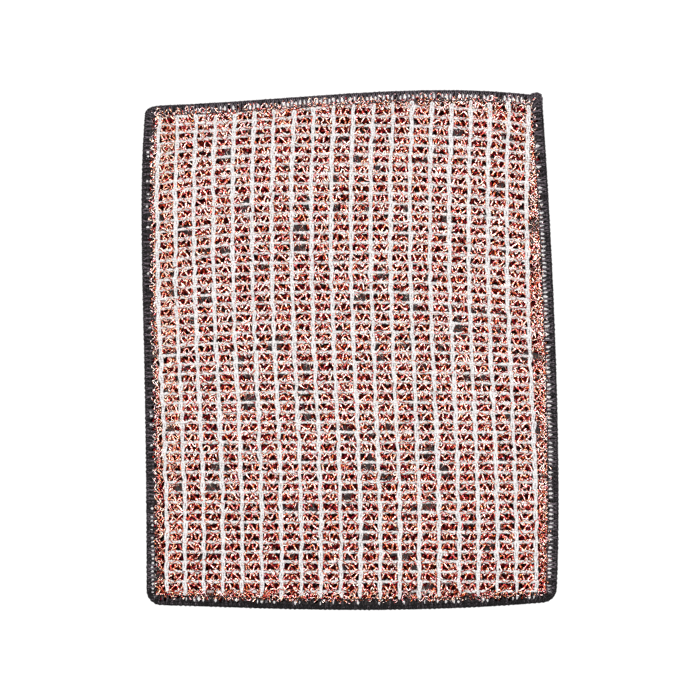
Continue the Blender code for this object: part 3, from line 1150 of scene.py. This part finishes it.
def makeOverlockTree():
    # stitches set side by side round the rim: two legs spread at the edge and meet further in
    labels = "stitches depth edge spread bar meet radius level fall points sides lean raggedness seed"
    size = newTree("overlock stitches", labels)
    seeds = manySeeds(size, step=17.0, count=4)
    turn = loopTurn()
    share = timesPlus(calc("COSINE", turn), -0.5, 0.5)
    inset = timesPlus(share, calc("SUBTRACT", size["depth"], size["edge"]), size["edge"])
    wide = ramp(inset, rim["spreadFrom"], size["meet"], size["spread"], size["bar"])
    flank = times(calc("SINE", turn), rim["flank"])
    flank = calc("MINIMUM", calc("MAXIMUM", flank, -1.0), 1.0)
    drop = ramp(inset, *rim["fallOver"], size["fall"], 0.0)
    inner = calc("SUBTRACT", size["depth"], rim["tuckOver"])
    tuck = ramp(inset, inner, size["depth"], 0.0, times(size["fall"], rim["tuck"]))
    stitch = shapedLoop(size, times(flank, wide), inset, plus(drop, tuck))
    curve = counted(guideCurve(size), size["stitches"])
    spots = wire("GeometryNodeCurveToPoints", {0: curve}, mode="EVALUATED")
    points = moved(spots[0], join(z=size["level"]))
    facing = wire("FunctionNodeAlignRotationToVector", {2: spots[1]}, axis="X", pivot_axis="Z")[0]
    tipped = rotated(0.0, 0.0, eitherWay(size["lean"], seeds[0]))
    rotation = wire("FunctionNodeRotateRotation", {0: facing, 1: tipped}, rotation_space="LOCAL")[0]
    shortest = calc("SUBTRACT", rim["longest"], size["raggedness"])
    reach = times(carried("reach"), chance(shortest, rim["longest"], seeds[2]))
    scale = join(chance(*rim["widths"], seeds[1]), reach, 1.0)
    placed = scattered(points, stitch, rotation, scale)
    placed = stored(placed, "tone", chance(0.0, 1.0, seeds[3]), domain="INSTANCE")
    return endTree(placed, blackThread)


def rimGuide(name):
    # the cloth's edge, which carries how far its stitches reach in on each side
    border = outline(0.0)
    guide = guideLines(name, [ringAt(0.0, 0.0)], closed=True)
    reaches = [rim["reach"][sideOf(a, b)] for a, b in steps(border)]
    carry(guide, "reach", [(before + after) / 2 for before, after in zip([reaches[-1]] + reaches, reaches)])
    return guide


settle(makeRimBand("rim_band"), "black_thread")
overlockTree = makeOverlockTree()
for side, face in faces.items():
    name = side + "_overlock_stitches"
    sizes = sizesOn(face, "rim", rim, fall=-face["out"] * rim["fall"])
    grow(name, rimGuide(name + "_guide"), overlockTree, sizes, "black_thread", side + "_looper_thread")


# Ends of the white yarn show in the gaps between the stitches, most on the right and the top
tufts = {
    "length": 1.75 * mm,
    "width": 0.98 * mm,
    "flat": 0.7,
    "fullness": 1.4,  # the higher, the closer a tuft's widest place is to its inner end
    "blunt": 0.08,
    "sunk": 0.55 * mm,
    "lean": 0.22,
    "widths": (0.75, 1.2),
    "lengths": (0.75, 1.15),
    "stray": 0.25,
    "points": 6,
    "sides": 6,
    "seed": 81,
    "gapSeed": 53,
    # for each side: distance in from the rim (mm), length and lift (mm)
    "places": {
        "left": (2.05, 0.62, 0.1),
        "bottom": (2.35, 0.75, 0.1),
        "right": (2.75, 1.0, 0.05),
        "top": (2.1, 0.95, 0.26),
    },
    # how many of the gaps are filled at places along each side (mm from the middle)
    "filled": {
        "left": ((-62, 0.92), (-48, 0.15), (70, 0.12), (84, 0.4)),
        "bottom": ((-60, 0.3), (60, 0.3)),
        "right": ((44, 0.94), (54, 0.35), (72, 0.4), (80, 0.1)),
        "top": ((-52, 0.25), (-38, 0.74), (58, 0.74), (66, 0.4)),
    },
}


def makeTuftTree():
    # a short puffed end of yarn at each guide point, pointed towards the rim and full at its inner end
    size = newTree("yarn tufts", "length width level flat points sides seed")
    seeds = manySeeds(size, step=19.0, count=2)
    half = times(size["length"], 0.5)
    ends = {0: join(y=times(half, -1.0)), 1: join(y=half)}
    line = counted(wire("GeometryNodeCurvePrimitiveLine", ends)[0], size["points"])
    share = calc("POWER", wire("GeometryNodeSplineParameter")[0], tufts["fullness"])
    swell = plus(calc("SINE", times(share, math.pi)), tufts["blunt"])
    tuft = tube(line, times(size["width"], 0.5), size["sides"], swell)
    lean = plus(carried("turn"), eitherWay(tufts["lean"], seeds[0]))
    scale = join(chance(*tufts["widths"], seeds[1]), carried("stretch"), size["flat"])
    points = moved(size["guide"], join(z=size["level"]))
    return endTree(scattered(points, tuft, rotated(0.0, 0.0, lean), scale), whiteYarn)


def valueAt(stops, place):
    # the value at a place between (place, value) pairs
    if place <= stops[0][0]:
        return stops[0][1]
    for (start, low), (end, high) in zip(stops, stops[1:]):
        if place < end:
            return low + (high - low) * (place - start) / (end - start)
    return stops[-1][1]


def tuftGuides(name, out):
    # a point in the middle of each filled gap, turned to point inwards
    border = outline(0.0)
    total = sum(math.dist(a, b) for a, b in steps(border))
    rng = random.Random(tufts["gapSeed"])
    spots = []
    walked = 0.0
    gap = 0
    for a, b in steps(border):
        reach = math.dist(a, b)
        across, along = (b[0] - a[0]) / reach, (b[1] - a[1]) / reach
        edge = sideOf(a, b)
        inset, stretch, raised = tufts["places"][edge]
        while (gap + 0.5) * total / rim["stitches"] < walked + reach:
            gone = ((gap + 0.5) * total / rim["stitches"] - walked) / reach
            inward = (inset + rng.uniform(-tufts["stray"], tufts["stray"])) * mm
            x = a[0] + (b[0] - a[0]) * gone - along * inward
            y = a[1] + (b[1] - a[1]) * gone + across * inward
            size = stretch * rng.uniform(*tufts["lengths"])
            place = y if edge in ("left", "right") else x
            if rng.random() < valueAt(tufts["filled"][edge], place / mm):
                spots.append((x, y, raised * out * mm, math.atan2(along, across), size))
            gap += 1
        walked += reach
    return guidePoints(name, spots)


tuftTree = makeTuftTree()
for side, face in faces.items():
    name = side + "_yarn_ends"
    guide = tuftGuides(name + "_guide", face["out"])
    grow(name, guide, tuftTree, sizesOn(face, "rim", tufts), "white_yarn")


# Threads along the rim, with these sizes unless changed
edgeThread = {
    "step": 0.8 * mm,
    "radius": 0.20 * mm,
    "plies": 1,
    "plyOffset": 0.10 * mm,
    "lay": 1.5 * mm,
    "wander": 0.08 * mm,
    "wanderSize": 900.0,
    "level": 0.0,
    "sides": 5,
    "seed": 61,
}


def makeEdgeThread(name, lines, changes, *nodes, closed=True):
    guide = guideLines(name + "_guide", lines, closed)
    grow(name, guide, blackTree, {**edgeThread, **changes}, "black_thread", *nodes)


edgeLines = [ringAt(inset * mm, rimMiddle + height * mm) for inset, height in rim["edgeThreads"]]
makeEdgeThread("rim_edge_threads", edgeLines, rim["edgeSizes"])
needleLine = ringAt(rim["needleInset"], rimTop - rim["needleSunk"])
makeEdgeThread("needle_stitches", [needleLine], rim["needleSizes"], "needle_thread")
print("overlock made")


# Cut thread ends at the top right corner
tail = {
    # outer edge of the bunched ends and the point they close in on, mm from the middle of the cloth
    "edge": (
        (61.4, 87.2), (62.2, 88.0), (63.3, 88.4), (64.6, 88.5), (65.6, 87.9), (66.1, 86.6), (66.2, 84.6)
    ),
    "heart": (62.6, 84.8),
    "depths": (0.30, 0.85, 1.40),
    "levels": (1.6, 2.1, 2.6, 3.1, 3.6),
    "wobble": 0.12,
    "seed": 17,
    "sizes": {"step": 0.4 * mm, "radius": 0.30 * mm, "seed": 71},
    # fine loose ends curl over the corner of the rim (mm), each a little above the one before
    "curls": 9,
    "curlAcross": (0.0, 2.6),
    "curlAlong": (-1.0, 2.6),
    "curlRadius": (0.6, 1.5),
    "curlPoints": 9,
    "curlStep": 0.42,
    "curlInside": (65.8, 88.1),
    "curlLevels": (0.02, 0.03),
    "curlSeed": 19,
    "curlSizes": {"step": 0.3 * mm, "radius": 0.10 * mm, "plyOffset": 0.0, "wander": 0.05 * mm, "seed": 73},
}


def makeTailLines():
    rng = random.Random(tail["seed"])
    lines = []
    for depth in tail["depths"]:
        for level in tail["levels"]:
            line = []
            for place in tail["edge"]:
                inward = Vector(tail["heart"]) - Vector(place)
                point = (*(Vector(place) + inward.normalized() * depth), level)
                line.append(tuple((v + rng.uniform(-tail["wobble"], tail["wobble"])) * mm for v in point))
            lines.append(line)
    return lines


def makeCurlLines():
    rng = random.Random(tail["curlSeed"])
    first, step = tail["curlLevels"]
    lines = []
    for curl in range(tail["curls"]):
        middleX = tail["heart"][0] + rng.uniform(*tail["curlAcross"])
        middleY = tail["heart"][1] + rng.uniform(*tail["curlAlong"])
        radius = rng.uniform(*tail["curlRadius"])
        start = rng.uniform(0.0, fullTurn)
        line = []
        for point in range(tail["curlPoints"]):
            angle = start + point * tail["curlStep"]
            x = min(middleX + radius * math.cos(angle), tail["curlInside"][0])
            y = min(middleY + radius * math.sin(angle), tail["curlInside"][1])
            line.append((x * mm, y * mm, rimTop + (first + step * curl) * mm))
        lines.append(line)
    return lines


makeEdgeThread("overlock_thread_ends", makeTailLines(), tail["sizes"], "overlock_tail", closed=False)
makeEdgeThread("overlock_thread_curls", makeCurlLines(), tail["curlSizes"], closed=False)
print("thread ends made")


# Floor, lamps, world and camera
studio = {
    "frame": 240.2 * mm,  # width of the view at the top of the rim
    "lens": 200.0,
    "sensor": 36.0,
    "world": 0.22,
    "horizon": (0.12, 0.30),  # heights between which the white backdrop fades to the world's grey
    "floorSize": 8.0,
    "floorDrop": 0.05 * mm,
    "floorGrey": 0.15,
    "floorBounce": 0.75,
    "floorGlow": 0.93,
    "lamps": (  # place, size and power
        ((0.0, 0.0, 1.7), 1.1, 15.0),
        ((-1.0, 0.9, 1.1), 0.6, 8.0),
        ((1.0, 0.8, 1.0), 0.6, 7.0),
        ((-0.8, -1.0, 1.0), 0.5, 3.0),
        ((0.9, -1.0, 1.0), 0.5, 3.0),
    ),
}


def makeFloor():
    bpy.ops.mesh.primitive_plane_add(size=studio["floorSize"], location=(0, 0, -studio["floorDrop"]))
    floor = bpy.context.object
    floor.name = "pale_floor"
    made, shader, _ = newMaterial("pale floor", {"Roughness": 0.9, "Specular IOR Level": 0.1})
    shader.inputs["Base Color"].default_value = (*[studio["floorGrey"]] * 3, 1.0)
    # seen straight or in a reflection it glows, and otherwise it only sends light back
    rays = wire("ShaderNodeLightPath")
    seen = calc("MAXIMUM", rays["Is Camera Ray"], rays["Is Glossy Ray"])
    seen = calc("MAXIMUM", seen, rays["Is Transmission Ray"])
    glow = wire("ShaderNodeEmission", {"Color": (1, 1, 1, 1), "Strength": studio["floorGlow"]})[0]
    both = wire("ShaderNodeAddShader", {0: shader.outputs[0], 1: glow})[0]
    plain = wire("ShaderNodeBsdfDiffuse", {"Color": (*[studio["floorBounce"]] * 3, 1)})[0]
    mixed = wire("ShaderNodeMixShader", {0: seen, 1: plain, 2: both})[0]
    link(mixed, made.node_tree.nodes["Material Output"].inputs[0])
    floor.data.materials.append(made)


def makeWorld():
    # plain grey overhead, with a white band round the horizon as the backdrop
    world = bpy.data.worlds.new("studio")
    bpy.context.scene.world = world
    world.use_nodes = True
    bench["tree"] = world.node_tree
    sky = world.node_tree.nodes["Background"].inputs
    up = split(wire("ShaderNodeTexCoord")["Generated"])[2]
    link(ramp(up, *studio["horizon"], 1.0, studio["world"]), sky["Strength"])
    sky["Color"].default_value = (1, 1, 1, 1)


def makeLamps():
    for number, (place, size, power) in enumerate(studio["lamps"]):
        light = bpy.data.lights.new(f"softbox {number + 1}", "AREA")
        light.shape = "SQUARE"
        light.size = size
        light.energy = power
        lamp = newObject(light.name, light)
        lamp.location = place
        lamp.rotation_euler = (-Vector(place)).to_track_quat("-Z", "Y").to_euler()


def makeCamera():
    data = bpy.data.cameras.new("camera")
    data.lens = studio["lens"]
    data.sensor_width = studio["sensor"]
    camera = newObject("camera", data)
    camera.location = (0.0, 0.0, rimTop + studio["frame"] * studio["lens"] / studio["sensor"])
    bpy.context.scene.camera = camera


makeFloor()
makeWorld()
makeLamps()
makeCamera()
bpy.context.scene.view_settings.view_transform = "Standard"
print("studio made")
